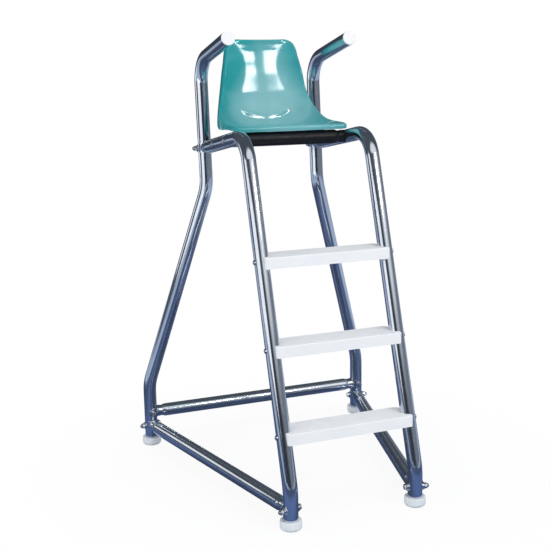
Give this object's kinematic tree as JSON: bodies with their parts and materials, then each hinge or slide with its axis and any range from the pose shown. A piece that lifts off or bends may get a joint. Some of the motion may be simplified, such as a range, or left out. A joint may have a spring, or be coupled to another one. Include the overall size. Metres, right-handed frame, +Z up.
{
  "type": "lifeguard chair",
  "caption": "Tall free-standing lifeguard chair: bent polished tube frame with ladder treads, hooked handrails, braces near the floor and a moulded bucket seat.",
  "frame": {"origin": "on the floor, in the middle of the four feet", "axes": "+Z up, -Y the way the sitter faces, +X to the right of someone who looks at the front of the chair"},
  "size_m": [0.9774, 0.9789, 1.5487],
  "materials": {
    "polished_tube": "polished stainless steel, mirror-like with fine drawn streaks along the tube",
    "seat_bearer": "black enamel on steel, satin gloss",
    "bolt_steel": "stainless fasteners, turned and bright",
    "seat_plastic": "teal moulded plastic, glossy, slightly worn",
    "tread_plastic": "white moulded plastic, satin gloss",
    "foot_plastic": "white moulded plastic, soft sheen",
    "plug_plastic": "white moulded plastic, soft sheen"
  },
  "bodies": {
    "root": {"cross_brace_bolts": "bolt_steel", "cross_brace_cap_nuts": "bolt_steel", "cross_brace_washers": "bolt_steel", "foot_cap_front_left": "foot_plastic", "foot_cap_front_right": "foot_plastic", "foot_cap_rear_left": "foot_plastic", "foot_cap_rear_right": "foot_plastic", "handle_plug_left": "plug_plastic", "handle_plug_right": "plug_plastic", "ladder_rail_left": "polished_tube", "ladder_rail_right": "polished_tube", "rail_joint_bolts": "bolt_steel", "rail_joint_cap_nuts": "bolt_steel", "rail_joint_washers": "bolt_steel", "rear_bar_bolts": "bolt_steel", "rear_bar_washers": "bolt_steel", "rear_cross_brace": "polished_tube", "rear_upright_left": "polished_tube", "rear_upright_right": "polished_tube", "seat_bolts": "bolt_steel", "seat_cross_tube": "seat_bearer", "seat_nuts": "bolt_steel", "seat_rear_bar": "seat_bearer", "seat_shell": "seat_plastic", "seat_strap_left": "seat_bearer", "seat_strap_right": "seat_bearer", "seat_tube_bolts": "bolt_steel", "seat_tube_washers": "bolt_steel", "seat_washers": "bolt_steel", "side_brace_bolts": "polished_tube", "side_brace_cap_nuts": "polished_tube", "side_brace_left": "polished_tube", "side_brace_right": "polished_tube", "side_brace_washers": "polished_tube", "strap_screws": "bolt_steel", "tread_bolts": "bolt_steel", "tread_high": "tread_plastic", "tread_low": "tread_plastic", "tread_middle": "tread_plastic", "tread_nuts": "bolt_steel", "tread_saddle_washers": "bolt_steel", "tread_washers": "bolt_steel"}
  },
  "joints": []
}
